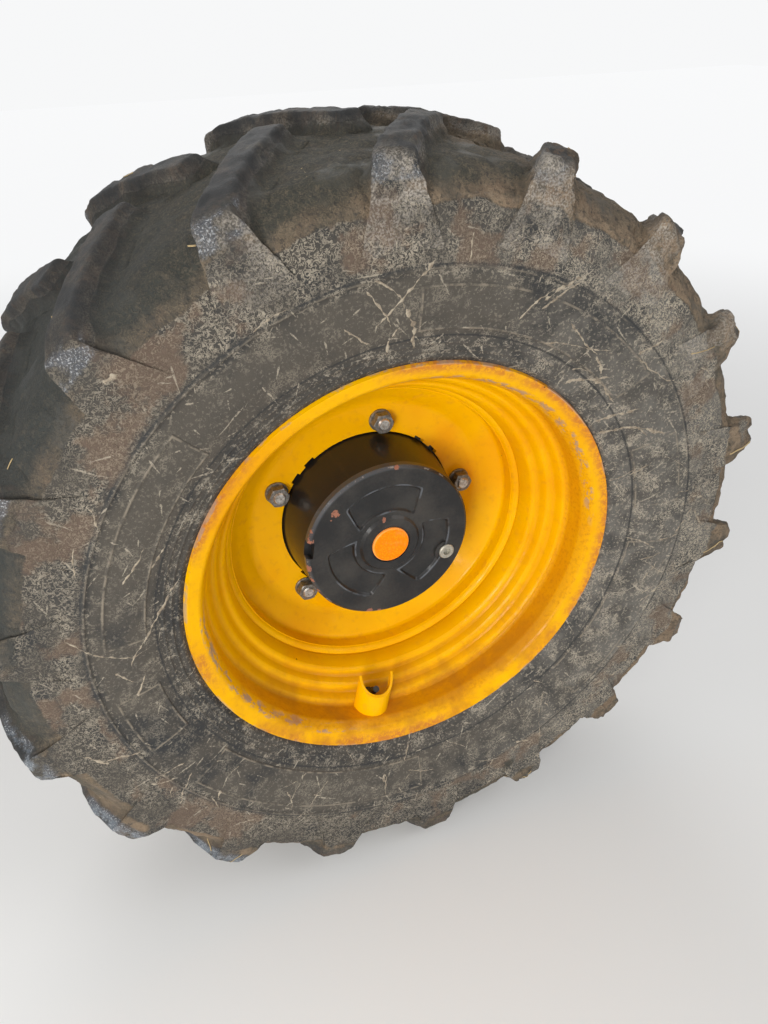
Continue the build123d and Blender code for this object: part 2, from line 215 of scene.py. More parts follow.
def yellowPaint(name, look, rubbed):
    paint = Paint(name, Specular_IOR_Level=0.05, Coat_Roughness=0.09)
    cloud = paint.noise(0.16, 3)
    mottle = paint.noise(0.012, 5, 0.6)
    paint.colour = paint.mix(cloud.step(0.42, 0.68), look.clean, look.shade)
    paint.coat(mottle.step(0.5, 0.75) * 0.25, look.rub)
    rough = look.roughness + 0.1 * mottle.step(0.4, 0.7)
    specks = paint.cells(0.045).step(0.035, 0.02) * paint.noise(0.08, 2).step(0.5, 0.56)
    if rubbed:
        radius = paint.wheelRadius()
        across, _, height = paint.spot().split()
        ragged = paint.noise(0.035, 6, 0.65)
        broad = paint.noise(0.2, 2)
        rightSide = (across + 0.3 * height).step(-0.02, 0.22)
        low = height.step(-0.05, -0.3)
        lowerLeft = (across + 1.2 * height).step(-0.22, -0.36)
        # painted shade in the hollows between the rim's steps, deeper towards the bottom
        for place in look.grooves:
            hollow = abs(radius - place).step(0.0065, 0.0005)
            paint.coat(hollow * (0.3 + 0.3 * low), look.groove)
        lip = (radius + 0.016 * ragged + 0.004 * lowerLeft).step(0.320, 0.336)
        lip = lip * (broad + 0.35 * ragged + 0.22 * rightSide.larger(lowerLeft)).step(0.70, 0.88)
        lip = lip * (0.45 + 0.55 * paint.noise(0.007, 5, 0.7).step(0.42, 0.56))
        paint.coat(lip * 0.9, look.rub)
        wavy = radius + 0.012 * ragged
        crease = wavy.step(0.307, 0.311) * wavy.step(0.319, 0.314)
        lowLeft = (across + 0.6 * height).step(-0.26, -0.31)
        torn = paint.noise(0.026, 6, 0.7, (1, 2.5, 1)).step(0.50, 0.55)
        scuffs = crease * torn * (rightSide * height.step(-0.02, 0.08)).larger(lowLeft)
        edge = radius.step(0.3275, 0.3305) * ragged.step(0.50, 0.58)
        scuffs = scuffs.larger(edge * 0.7)
        paint.coat(scuffs * 0.85, look.scuff)
        ledge = radius.step(0.291, 0.298) * radius.step(0.318, 0.306)
        crumbs = paint.noise(0.006, 6, 0.7).step(0.45, 0.7)
        dusty = ledge * (0.4 + 0.6 * crumbs) * (0.35 + 0.65 * low.larger(rightSide))
        paint.coat(dusty * 0.6, look.dust)
        rough = rough + 0.22 * lip.larger(dusty) + 0.2 * scuffs
        # darker orange-brown patches towards the bottom of the barrel
        grime = low * paint.noise(0.05, 5).step(0.36, 0.66) * radius.step(0.25, 0.29)
        paint.coat(grime * 0.6, look.grime)
        paint.bump(scuffs, -0.0003, 0.6)
    paint.coat(specks, look.speck)
    paint.set(Base_Color=paint.colour, Roughness=rough, Coat_Weight=0.15 * mottle.step(0.75, 0.35))
    paint.bump(paint.noise(0.0016, 3), 0.00003, 0.5)       # orange peel
    paint.bump(paint.noise(0.05, 2), 0.0006, 0.35)         # pressed sheet isn't quite flat
    return paint.made


# dark paint of the hub and its cover
darkPaint = {
    "base": (0.014, 0.014, 0.0145),
    "dust": (0.070, 0.064, 0.056),
    "primer": (0.30, 0.13, 0.085),
    "bare": (0.33, 0.31, 0.29),
    "oil": (0.07, 0.045, 0.02),
    "shadow": (0.004, 0.004, 0.004),
    "chips": [                          # x, y, z and size of a chip, in millimetres
        (-85, -203, 77, 7.5), (-10, -205, 47, 4.5), (-93, -203, 66, 3), (-128, -202, 55, 8),
        (-132, -202, 36, 9), (-134, -200, -12, 6), (-131, -200, -35, 5), (-122, -200, -58, 4),
        (-40, -200, -127, 6), (-22, -200, -131, 5), (5, -205, 63, 5.5), (15, -200, 132, 5),
        (-55, -205, -4, 3.5),
    ],
    "edge": (0.095, 0.103, 0.115),      # painted highlight along the cover's rounded edge and the pocket edges
    "pocket": {                         # outline of the cover's three pockets
        "axis": 94,
        "inner": (0.058, 51),           # radius, half angle
        "outer": (0.102, 37),
        "round": 0.006,
    },
}


def pocketBorder(paint, radius, pocket):
    # distance outward from the outline of the nearest pocket
    x, _, z = paint.spot().split()
    low, high = pocket["inner"][0], pocket["outer"][0]
    start, end = (np.array([reach * math.cos(math.radians(angle)), reach * math.sin(math.radians(angle))])
                  for reach, angle in (pocket["inner"], pocket["outer"]))
    way = (end - start) / np.linalg.norm(end - start)
    turn = paint.maths("ARCTAN2", z, x) - math.radians(pocket["axis"])
    turn = paint.maths("WRAP", turn, math.pi / 3, -math.pi / 3)
    along = radius * paint.maths("COSINE", turn) - float(start[0])
    aside = radius * abs(paint.maths("SINE", turn)) - float(start[1])
    side = aside * float(way[0]) - along * float(way[1])
    return paint.maths("SMOOTH_MAX", (radius - high).larger(low - radius), side, pocket["round"])


def hubPaint(name, look):
    paint = Paint(name, Specular_IOR_Level=0.18, Coat_Roughness=0.1)
    radius = paint.wheelRadius()
    _, y, _ = paint.spot().split()
    fine = paint.noise(0.004, 5, 0.65)
    cloud = paint.noise(0.07, 4)
    dust = (cloud + 0.3 * fine).step(0.5, 0.95) * y.step(-0.19, -0.2)
    paint.colour = paint.mix(dust * 0.6, look.base, look.dust)
    # brown streaks along the drum's side: partly oil, partly a painted reflection of the yellow disc
    streaks = paint.noise(0.02, 3, stretch=(1, 0.12, 1)).step(0.55, 0.8)
    paint.coat(streaks * y.step(-0.2, -0.19) * 0.3, look.oil)
    chipped = None
    for *place, size in np.array(look.chips) / 1000:
        away = paint.far(place) + (paint.noise(0.006, 3) - 0.5) * (size * 2.2)
        near = away.step(size, size * 0.75)
        chipped = chipped.larger(near) if chipped else near
    front = y.step(-0.1975, -0.1995)
    rimEdge = radius.step(0.1318, 0.1345) * radius.step(0.1375, 0.1362) * front
    edgeWear = rimEdge * paint.noise(0.012, 4, 0.7).step(0.57, 0.63)
    if look.pocket:
        x, _, z = paint.spot().split()
        border = pocketBorder(paint, radius, look.pocket) + 0.0012 * (fine - 0.5)
        # painted highlight along the pocket edges, with painted shadow just inside them
        bright = border.step(-0.0010, 0.0) * border.step(0.0026, 0.0014)
        bright = bright * paint.noise(0.030, 3).step(0.44, 0.62)
        shadow = border.step(-0.0048, -0.0032) * border.step(-0.0004, -0.0016)
        # painted highlight on the upper left of the cover's rounded edge
        edgeHighlight = radius.step(0.1285, 0.1335) * (z - 1.2 * x).step(0.02, 0.12) * (0.5 + 0.5 * cloud)
        paint.coat(shadow * front * 0.7, look.shadow)
        paint.coat((bright * front).larger(edgeHighlight * 0.75), look.edge)
    pin = paint.cells(0.021).step(0.055, 0.035) * paint.noise(0.03, 2).step(0.55, 0.6)
    paint.coat(pin * front, look.bare)
    paint.coat(edgeWear, look.bare)
    paint.coat(chipped, look.primer)
    worn = edgeWear.larger(chipped).larger(pin * front)
    paint.set(Base_Color=paint.colour, Roughness=0.36 + 0.25 * dust + 0.2 * worn)
    paint.set(Coat_Weight=0.28 * (1 - worn))
    paint.bump(worn, -0.0003, 0.8)
    paint.bump(fine, 0.00012, 0.5)
    paint.bump(paint.noise(0.02, 3), 0.0004, 0.4)
    return paint.made


studs = {
    "circle": 0.1675,
    "firstAngle": 81,
    "count": 5,
    "face": -0.140,                     # y of the collars' outer faces
    # colour of the painted highlight on the collars' edge
    "rubbed": (0.62, 0.60, 0.55),
}


def metalPaint(name, colour, darker, roughness, metallic, ringed=False, ring=None):
    paint = Paint(name)
    blotch = paint.noise(0.004, 5, 0.6)
    tone = paint.mix(blotch.step(0.35, 0.7), colour, darker)
    if ring:
        # painted highlight along the collars' outer edge
        for k in range(studs["count"]):
            angle = math.radians(studs["firstAngle"] + 360 / studs["count"] * k)
            place = (studs["circle"] * math.cos(angle), studs["face"], studs["circle"] * math.sin(angle))
            away = paint.far(place)
            rubbed = away.step(ring - 0.0012, ring - 0.0004) * away.step(0.03, 0.025)
            tone = paint.mix(rubbed * blotch.step(0.7, 0.5), tone, studs["rubbed"])
    paint.set(Base_Color=tone, Metallic=metallic * blotch.step(0.85, 0.4), Roughness=roughness + 0.2 * blotch)
    paint.bump(blotch, 0.0001, 0.6)
    if ringed:
        rings = paint.noise(0.0012, 2, stretch=(0.05, 1, 0.05))
        paint.bump(rings, 0.00006, 0.6)
    return paint.made


reflectorLook = {
    "lens": (0.98, 0.275, 0.001),
    "deep": (0.94, 0.20, 0.0),
    "border": (1.0, 0.42, 0.10),
    "dust": (0.6, 0.3, 0.14),
    "glow": 0.18,
}


def reflectorPaint(look):
    paint = Paint("amberLens", Coat_Weight=0.04, Coat_Roughness=0.1, Specular_IOR_Level=0.1)
    prisms = paint.cells(0.0032)
    grain = paint.noise(0.0014, 2)
    shine = (prisms + 0.3 * grain).step(0.25, 0.75)
    paint.colour = paint.mix(shine, look.lens, look.deep)
    border = paint.wheelRadius().step(0.0278, 0.0290)
    paint.coat(border * 0.6, look.border)
    dusty = paint.noise(0.012, 4).step(0.5, 0.8)
    paint.coat(dusty * 0.25, look.dust)
    paint.set(Base_Color=paint.colour, Roughness=0.3 + 0.3 * dusty)
    paint.set(Emission_Color=paint.colour, Emission_Strength=look.glow)
    paint.bump(prisms, 0.0004, 0.5)
    return paint.made


def rubberPaint(name, colour, pale):
    paint = Paint(name)
    grain = paint.noise(0.0025, 4, 0.6)
    film = paint.noise(0.02, 4).step(0.42, 0.72)
    paint.set(Base_Color=paint.mix(film * 0.7, colour, pale), Roughness=0.6 + 0.25 * film)
    paint.bump(grain, 0.00015, 0.7)
    return paint.made


def castPaint(name, colour, dust, rusted):
    paint = Paint(name, Specular_IOR_Level=0.4)
    grain = paint.noise(0.0022, 4, 0.6)
    film = paint.noise(0.06, 5).step(0.4, 0.72)
    rust = paint.noise(0.025, 5, 0.65).step(0.6, 0.68)
    tone = paint.mix(film * 0.6, colour, dust)
    paint.set(Base_Color=paint.mix(rust * 0.6, tone, rusted), Roughness=0.5 + 0.3 * film)
    paint.bump(grain, 0.0003, 0.6)
    return paint.made


# dried mud and dust over worn rubber
tyreLook = {
    "rubber": (0.025, 0.026, 0.027),
    "faded": (0.062, 0.055, 0.046),     # brown film on the flank
    "dusty": (0.178, 0.168, 0.150),     # paler film towards the right of the flank
    "end": (0.450, 0.405, 0.350),       # paler lug ends: partly pale crust, partly painted sheen on the upper lugs
    "steel": (0.082, 0.092, 0.112),     # painted bluish sky reflection on the lug corners
    "sparkle": (0.40, 0.41, 0.42),
    "crust": (0.440, 0.385, 0.300),     # fine dried mud left in the rubber's wrinkles
    "stain": (0.140, 0.094, 0.066),
    "film": (0.088, 0.077, 0.062),      # smooth dust over the moulded panels
    "shine": (0.200, 0.236, 0.280),     # brighter painted bluish reflection on the lowest lugs
    "grooves": (0.4597, 0.3700),        # radii of the painted shade lines beside the moulded rings
    "ridge": (0.250, 0.212, 0.162),
    "olive": (0.054, 0.053, 0.042),     # damp mud in the bays
    "slate": (0.034, 0.040, 0.041),     # the same mud darkened by painted shade on the upper left
    "tan": (0.245, 0.178, 0.117),
    "rust": (0.160, 0.102, 0.068),
    "pale": (0.300, 0.230, 0.155),
}


def flecks(paint, size, length, width, share, shift):
    # slim tapering marks, at most one to a cell of a flat Voronoi pattern, each at its own angle
    x, _, z = paint.spot().split()
    flat = paint.node("CombineXYZ", inputs={0: x + shift, 1: z + 2 * shift})
    inputs = {"Vector": flat, "Scale": 1 / size, "Randomness": 0.9}
    centre = paint.node("TexVoronoi", {"voronoi_dimensions": "2D"}, inputs, "Position")
    chance, turn, reach = Link(paint, centre.socket.node.outputs["Color"]).split()
    wander = 0.004 * (paint.noise(0.02, 2) - 0.5)
    across, along, _ = paint.node("VectorMath", {"operation": "SUBTRACT"}, {0: flat, 1: centre}).split()
    cosine, sine = (paint.maths(operation, turn * math.pi) for operation in ("COSINE", "SINE"))
    run = across * cosine + along * sine
    side = abs(along * cosine - across * sine + wander)
    extent = length * (0.35 + 0.65 * reach)
    place = run / extent
    taper = place.step(-1.0, 0.55) * place.step(1.0, 0.6)
    body = (side / (width * (0.15 + 0.85 * taper))).step(1.15, 0.7)
    ends = place.step(-1.0, -0.8) * place.step(1.0, 0.9)
    torn = paint.noise(0.004, 4, 0.7).step(0.40, 0.52)
    return body * ends * torn * chance.step(1 - share, 1 - share + 0.01)


def tyrePaint(name, look):
    paint = Paint(name, Specular_IOR_Level=0.35)
    radius = paint.wheelRadius()
    keys = ("mud", "tone", "crown", "ridge", "sheen", "rise")
    mud, tone, crown, ridge, sheen, rise = (
        paint.node("Attribute", {"attribute_name": key}, output="Fac") for key in keys)
    broad = paint.noise(0.22, 3)
    patch = paint.noise(0.045, 6, 0.62)
    crumb = paint.noise(0.0052, 3, 0.55, warp=0.9)
    across, y, height = paint.spot().split()
    turned = paint.node("CombineXYZ", inputs={0: 0.55 * across / radius, 1: y, 2: 0.55 * height / radius})
    inputs = {"Vector": turned, "W": 0.16 * radius, "Scale": 1 / 0.007, "Detail": 4.0, "Roughness": 0.65}
    streaks = paint.node("TexNoise", {"noise_dimensions": "4D"}, inputs)       # run towards the axle
    grain = paint.noise(0.0018, 3, 0.6)
    lines = abs(crumb - 0.5).step(0.058, 0.030)

    paint.colour = paint.mix((patch + 0.4 * broad).step(0.46, 0.80), look.rubber, look.faded)
    # paler towards the right of the flank
    paleRight = (across + 0.5 * (patch - 0.5)).step(-0.05, 0.45)
    paler = 0.62 + 0.38 * (across + 0.3 * height).step(-0.35, 0.15)
    paint.coat(paleRight * (0.25 + 0.4 * patch.step(0.4, 0.6)), look.dusty)
    flank = radius.step(0.50, 0.47)
    specks = paint.noise(0.0040, 3, 0.6).step(0.56, 0.62)
    panelled = radius.step(0.370, 0.378) * radius.step(0.452, 0.444)
    filmed = panelled * (1 - 0.8 * paleRight)
    paint.coat(filmed * (broad + 0.4 * patch).step(0.50, 0.72) * 0.6, look.film)
    sparse = flank * (lines * paint.noise(0.028, 4, 0.6).step(0.50, 0.62)).larger(specks * 0.6)
    paint.coat(sparse * (0.55 - 0.27 * filmed + 0.20 * paleRight), look.crust)
    # painted shade: dark lines beside the moulded rings
    for place in look.grooves:
        line = abs(radius - place).step(0.0020, 0.0008)
        paint.coat(line * 0.75, look.rubber)

    lugEnd = radius.step(0.528, 0.540) * (1 - crown)
    crustZone = (radius + 0.03 * patch).step(0.470, 0.484) * (1 - 0.65 * crown) * (1 - 0.45 * lugEnd)
    crust = crustZone * lines * (0.42 + 0.58 * paint.noise(0.05, 5, 0.6).step(0.38, 0.58))
    stained = crustZone * paint.noise(0.075, 5, 0.6).step(0.49, 0.58)
    paint.coat(stained * 0.7, look.stain)
    crustTone = paint.mix(stained * 0.6, look.crust, look.tan)
    paint.coat(crust * paler * (0.76 + 0.24 * paleRight), crustTone)

    glitter = paint.noise(0.0026, 2).step(0.44, 0.60)
    thick = (mud + 0.5 * (patch - 0.5) + 0.15 * (crumb - 0.5)).step(0.42, 0.56)
    tint = (tone + 0.8 * (broad - 0.5) + 0.7 * (patch - 0.5)).step(0.2, 0.85)
    wet = paint.noise(0.06, 4).step(0.54, 0.64)
    leftSide = across.step(-0.15, -0.40)
    # painted shade: the mud darker on the upper left of the wheel
    upperLeftShade = leftSide * height.step(-0.15, 0.05) * (1 - 0.7 * tint)
    lowMud = leftSide * height.step(-0.12, -0.30)
    hue = paint.mix(tint, look.olive, look.tan)
    for share, shade in (
        (paint.noise(0.03, 5).step(0.50, 0.64) * (0.1 + 0.45 * tint), "rust"),
        (lines * (0.20 + 0.36 * tint), "pale"),
        (paint.noise(0.017, 5, 0.65).step(0.52, 0.60) * 0.5 * tint, "olive"),
        (specks * 0.55, "rubber"),
        (streaks.step(0.50, 0.68) * 0.55, "rubber"),
        (streaks.step(0.44, 0.30) * 0.30, "pale"),
        (wet * 0.5, "olive"),
        (upperLeftShade * 0.6, "slate"),
        (lowMud * (0.3 + 0.4 * patch.step(0.42, 0.58)), "tan"),
    ):
        hue = paint.mix(share, hue, getattr(look, shade))
    paint.coat(thick, hue)

    # upper lug ends paler: partly pale crust, partly painted sheen with glints
    rubbed = lugEnd * height.step(0.15, 0.42) * across.step(-0.25, -0.05) * (0.2 + 0.8 * glitter)
    rubbed = rubbed * mud.step(0.80, 0.55)
    paint.coat(rubbed * 0.8 * patch.step(0.36, 0.50), look.end)
    scrubbed = crown * (patch + 0.5 * crumb).step(0.92, 0.66)
    paint.coat(scrubbed * 0.7, look.rubber)
    paint.coat(crown * (0.7 * streaks.step(0.52, 0.66) + 0.25 * specks), look.stain)
    # raised lug ends on the upper right paler: pale crust with painted sheen and glints
    pale = rise * (height + 0.4 * across).step(0.30, 0.46) * radius.step(0.470, 0.485)
    pale = pale * patch.step(0.38, 0.60) * (0.1 + 0.9 * glitter)
    paint.coat(pale * 0.5, look.end)

    shaded = crown * (across - 0.3 * height).step(0.05, -0.20)
    paint.coat(shaded * (0.45 + 0.4 * patch.step(0.62, 0.42)), look.rubber)
    # painted sheen: bluish sky reflection with sparkle on the lug corners, where the rubber is also glossier
    damp = sheen.step(0.05, 0.55) * paint.noise(0.03, 4).step(0.40, 0.54)
    sheenTone = paint.mix(sheen.step(0.62, 0.9), look.steel, look.shine)
    paint.coat(damp * (0.40 + 0.35 * patch), sheenTone)
    sparkle = damp * paint.noise(0.0022, 2).step(0.55, 0.63)
    paint.coat(sparkle * 0.8, look.sparkle)

    worn = ridge * paint.noise(0.018, 4, 0.6).step(0.42, 0.60)
    paint.coat(worn * 0.75, look.ridge)
    marks = flecks(paint, 0.030, 0.012, 0.0011, 0.45, 3.11)
    marks = marks.larger(flecks(paint, 0.052, 0.024, 0.0013, 0.4, 0.37))
    paint.coat(marks * radius.step(0.528, 0.505) * 0.65, look.crust)

    rough = 0.76 + 0.18 * thick - 0.42 * damp * glitter - 0.25 * wet * thick
    paint.set(Base_Color=paint.colour, Roughness=rough.larger(0.3))
    # one height in metres, so that each pattern is worked out once
    relief = 0.0008 * grain + 0.0009 * paint.noise(0.009, 3)
    relief = relief + 0.0012 * lines * (crustZone * 0.8).larger(thick * 0.6)
    relief = relief + 0.0016 * thick * (0.6 + patch + 0.35 * streaks)
    paint.bump(relief, 1.0, 0.85)
    return paint.made


def splashPaint(look):
    paint = Paint("driedSplash", Roughness=0.85, Specular_IOR_Level=0.2)
    blotch = paint.noise(0.008, 5, 0.65).step(0.36, 0.62)
    grit = paint.noise(0.0016, 3).step(0.55, 0.7)
    paint.colour = paint.mix(blotch, look.damp, look.dry)
    paint.coat(grit * 0.4, look.grit)
    paint.set(Base_Color=paint.colour)
    paint.bump(paint.noise(0.0022, 4), 0.0004, 0.8)
    return paint.made


def strawPaint(look):
    paint = Paint("straw")
    fibre = paint.noise(0.003, 3)
    paint.colour = paint.mix(paint.noise(0.03, 3).step(0.4, 0.65), look.fresh, look.old)
    paint.coat(fibre * 0.5, look.fibre)
    paint.set(Base_Color=paint.colour, Roughness=0.7)
    paint.bump(fibre, 0.0002, 0.6)
    return paint.made


wheelYellow = yellowPaint("wheelYellow", Plan(**yellow), True)
plainYellow = yellowPaint("plainYellow", Plan(**yellow), False)
drumPaint = darkPaint | {"chips": darkPaint["chips"][3:5], "pocket": None}
nodeMaterials = {
    "rim": wheelYellow,
    "wheel_disc": plainYellow,
    "valve_guard": plainYellow,
    "hub": hubPaint("hubPaint", Plan(**drumPaint)),
    "hub_cover": hubPaint("coverPaint", Plan(**darkPaint)),
    "drain_plug": metalPaint("plugSteel", (0.46, 0.44, 0.37), (0.28, 0.26, 0.21), 0.4, 0.55),
    "reflector": reflectorPaint(Plan(**reflectorLook)),
    "wheel_studs": metalPaint("studSteel", (0.60, 0.58, 0.54), (0.20, 0.17, 0.14), 0.26, 0.9, ringed=True),
    "nut_collars": metalPaint("collarSteel", (0.27, 0.26, 0.235), (0.10, 0.085, 0.06), 0.38, 0.75,
                              ring=0.0178),
    "wheel_nuts": metalPaint("nutSteel", (0.25, 0.24, 0.22), (0.085, 0.072, 0.058), 0.36, 0.75),
    "valve_stem": rubberPaint("valveRubber", (0.016, 0.016, 0.014), (0.07, 0.065, 0.04)),
    "spindle": castPaint("spindleIron", (0.030, 0.030, 0.032), (0.10, 0.085, 0.07), (0.16, 0.06, 0.025)),
    "spindle_seal": rubberPaint("sealRubber", (0.012, 0.012, 0.012), (0.06, 0.05, 0.04)),
    "drive_shaft": metalPaint("shaftSteel", (0.46, 0.45, 0.43), (0.22, 0.2, 0.17), 0.3, 0.95),
}
for name, material in nodeMaterials.items():
    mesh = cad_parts[name].data
    mesh.materials.clear()
    mesh.materials.append(material)
tyreMaterial = tyrePaint("tyreRubber", Plan(**tyreLook))
print("materials wired")


def roundedLine(rows):
    # rows of radius, y and corner radius to a fine polyline with arcs at the corners
    points = [np.array(row[:2], float) for row in rows]
    line = [points[0]]
    for before, corner, after, row in zip(points, points[1:], points[2:], rows[1:]):
        toBefore, toAfter = before - corner, after - corner
        reach = min(np.linalg.norm(toBefore), np.linalg.norm(toAfter)) * 0.495
        toBefore, toAfter = toBefore / np.linalg.norm(toBefore), toAfter / np.linalg.norm(toAfter)
        inner = math.acos(np.clip(toBefore @ toAfter, -1, 1))
        turn = math.pi - inner
        cut = min(row[2] * math.tan(turn / 2), reach)
        if cut < 1e-6 or turn < 1e-3:
            line.append(corner)
            continue
        radius = cut / math.tan(turn / 2)
        middle = toBefore + toAfter
        centre = corner + middle / np.linalg.norm(middle) * math.hypot(radius, cut)
        start, end = corner + toBefore * cut - centre, corner + toAfter * cut - centre
        pieces = max(3, math.ceil(math.degrees(turn) / 4))
        for share in np.linspace(0, 1, pieces + 1):
            way = start * math.sin((1 - share) * turn) + end * math.sin(share * turn)
            line.append(centre + way / math.sin(turn))
    line.append(points[-1])
    line = np.array(line)
    along = lengthsAlong(line)
    return pointsAt(line, np.union1d(along, np.arange(0, along[-1], 0.0005)))


def lengthsAlong(line):
    return np.concatenate([[0], np.cumsum(np.linalg.norm(np.diff(line, axis=0), axis=1))])


def pointsAt(line, places):
    along = lengthsAlong(line)
    return np.stack([np.interp(places, along, line[:, k]) for k in (0, 1)], axis=1)


def outwardAt(line, places, reach=0.002):
    # unit normals of a line that runs from the outboard bead over the tread: away from the tyre's inside
    way = pointsAt(line, places + reach) - pointsAt(line, places - reach)
    way /= np.linalg.norm(way, axis=1)[:, None]
    return np.stack([way[:, 1], -way[:, 0]], axis=1)


def otherSide(y):
    return 2 * tyreStart + tyreWidth - y


def sectioned(depthRows):
    return [(radius, tyreStart + depth, corner) for radius, depth, corner in depthRows]


def mirrored(rows):
    return rows + [(radius, otherSide(y), corner) for radius, y, corner in reversed(rows[:-1])]


def spun(section, angles):
    # radius and y pairs turned to each angle, as an (angles, section, 3) array
    radius, y = section[..., 0], section[..., 1]
    cosine, sine = np.cos(angles)[:, None], np.sin(angles)[:, None]
    return np.stack([radius * cosine, np.broadcast_to(y, (len(angles), y.shape[-1])), radius * sine], axis=2)


def gridFaces(rows, columns, closedRows=False, closedColumns=False, start=0):
    down = np.arange(rows if closedRows else rows - 1)
    across = np.arange(columns if closedColumns else columns - 1)
    a, b = np.meshgrid(down, across, indexing="ij")
    a, b = a.ravel(), b.ravel()
    nextA, nextB = (a + 1) % rows, (b + 1) % columns
    corners = [a * columns + b, nextA * columns + b, nextA * columns + nextB, a * columns + nextB]
    return np.stack(corners, axis=1) + start


def makePiece(name, points, faces, material, sharp, attributes=None):
    mesh = bpy.data.meshes.new(name)
    mesh.from_pydata(points.reshape(-1, 3).tolist(), [], faces)
    mesh.validate()
    mesh.polygons.foreach_set("use_smooth", [True] * len(mesh.polygons))
    mesh.set_sharp_from_angle(angle=math.radians(sharp))
    for key, values in (attributes or {}).items():
        layer = mesh.attributes.new(key, "FLOAT", "POINT")
        layer.data.foreach_set("value", np.asarray(values, np.float32).ravel())
    mesh.materials.append(material)
    piece = bpy.data.objects.new(name, mesh)
    scene.collection.objects.link(piece)
    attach(piece, "wheel")
    return piece


def gridNormals(points, faces):
    flat = points.reshape(-1, 3)
    corner = flat[faces]
    facing = np.cross(corner[:, 2] - corner[:, 0], corner[:, 3] - corner[:, 1])
    normals = np.zeros_like(flat)
    for k in range(4):
        np.add.at(normals, faces[:, k], facing)
    return normals / np.maximum(np.linalg.norm(normals, axis=1), 1e-12)[:, None]


def lumps(points, size, shift, octaves=3):
    # smooth noise from about -1 to 1 at each point
    flat = points.reshape(-1, 3) / size + np.array(shift)
    return np.array([noise.fractal(Vector(p), 1.0, 2.1, octaves) for p in flat.tolist()])


def eased(values, low, high):
    share = np.clip((values - low) / (high - low), 0, 1)
    return share * share * (3 - 2 * share)


def keptIn(points, ease):
    # pulls points back inside the tyre's width and diameter, softly over the last few millimetres
    def soft(room):
        return np.where(room < ease, ease * (1 - np.tanh((ease - room) / ease)), room)

    points = np.array(points, float)
    radius = np.hypot(points[:, 0], points[:, 2])
    points[:, [0, 2]] *= ((tyreRadius - soft(tyreRadius - radius)) / radius)[:, None]
    points[:, 1] = tyreStart + soft(points[:, 1] - tyreStart)
    end = tyreStart + tyreWidth
    points[:, 1] = end - soft(end - points[:, 1])
    return points


def muddy(points):
    # how much mud lies between the lugs, how pale it has dried, and the side of the wheel where it is palest
    radius, depth = np.hypot(points[:, 0], points[:, 2]), points[:, 1] - tyreStart
    bay = eased(radius, 0.510, 0.540)
    sunny = eased(np.cos(np.arctan2(points[:, 2], points[:, 0]) - math.radians(15)), -0.2, 0.9)
    ledge = 1 - eased(depth, 0.010, 0.034)
    return bay, 0.04 + 0.40 * ledge + 0.50 * sunny, sunny


casing = {
    "rows": [                           # radius, depth, corner radius
        (0.306, 0.075, 0.0),
        (0.308, 0.056, 0.004),
        (0.322, 0.0445, 0.004),
        (0.3325, 0.0358, 0.002),
        (0.346, 0.0300, 0.010),
        (0.402, 0.0120, 0.120),
        (0.462, 0.0030, 0.120),
        (0.528, 0.0070, 0.012),
        (0.562, 0.0420, 0.050),
        (0.573, tyreWidth / 2, 0.400),
    ],
    "rings": [                          # radius, half width, height of the moulded rings
        (0.3405, 0.0020, 0.0008),
        (0.3490, 0.0011, 0.0007),
        (0.3600, 0.0011, 0.0007),
        (0.4560, 0.0013, 0.0013),
    ],
    "columns": 600,
    "fineStep": 0.0039,                 # outboard side
    "treadStep": 0.0100,
    "coarseStep": 0.0120,               # inboard side
    "mudThickness": 0.006,
}


def casingLine():
    return roundedLine(mirrored(sectioned(casing["rows"])))


def ringHeight(radius, plan):
    height = np.zeros_like(radius)
    for place, half, tall in plan.rings:
        height += tall * (1 - eased(np.abs(radius - place), half * 0.6, half * 1.7))
    return height


def makeCasing(plan):
    line = casingLine()
    along = lengthsAlong(line)
    places, s = [], 0.0
    while s < along[-1] - 0.002:
        places.append(s)
        radius, y = pointsAt(line, np.array([s]))[0]
        if radius < 0.318:
            s += 0.03
        elif y < -0.270:
            s += plan.fineStep
        else:
            s += plan.treadStep if radius > 0.54 else plan.coarseStep
    dense = np.linspace(0, along[-1], 6000)
    denseRadius = pointsAt(line, dense)[:, 0]
    for ring, half, _ in plan.rings:
        for offset in (-1.7, -1.1, -0.6, 0, 0.6, 1.1, 1.7):
            first = dense[np.argmax(denseRadius > ring + offset * half)]
            places += [first] if offset in (-1.1, 0, 1.1) else [first, along[-1] - first]
    places = np.array(sorted(places))
    places = places[np.concatenate([[True], np.diff(places) > 0.0004])]
    section = pointsAt(line, places)
    normal = outwardAt(line, places)
    flatRadius = section[:, 0]
    section = section + normal * ringHeight(flatRadius, plan)[:, None]
    angles = np.linspace(0, 2 * math.pi, plan.columns, endpoint=False)
    points = spun(section, angles)
    faces = gridFaces(len(angles), len(places), closedRows=True, closedColumns=True)
    outward = spun(normal, angles).reshape(-1, 3)
    radius = np.tile(section[:, 0], len(angles))
    large = lumps(points, 0.07, (3, 1, 7), 4)
    small = lumps(points, 0.016, (9, 4, 2), 3)
    bay, pale, sunny = muddy(points.reshape(-1, 3))
    thickness = plan.mudThickness * bay * np.clip(0.35 + 0.8 * large, 0, 1.2)
    thickness += bay * (0.0016 + 0.0016 * sunny) * small + 0.0004 * small * eased(radius, 0.45, 0.49)
    points = keptIn(points.reshape(-1, 3) + outward * thickness[:, None], 0.003)
    looks = {
        "mud": np.clip(0.78 * bay + 0.22 * large * eased(radius, 0.47, 0.50) + 0.14, 0, 1),
        "tone": pale,
        "ridge": np.tile(0.5 * (ringHeight(flatRadius, plan) > 0.0010), len(angles)),
    }
    return makePiece("tyreCasing", points, faces.tolist(), tyreMaterial, 60, looks)


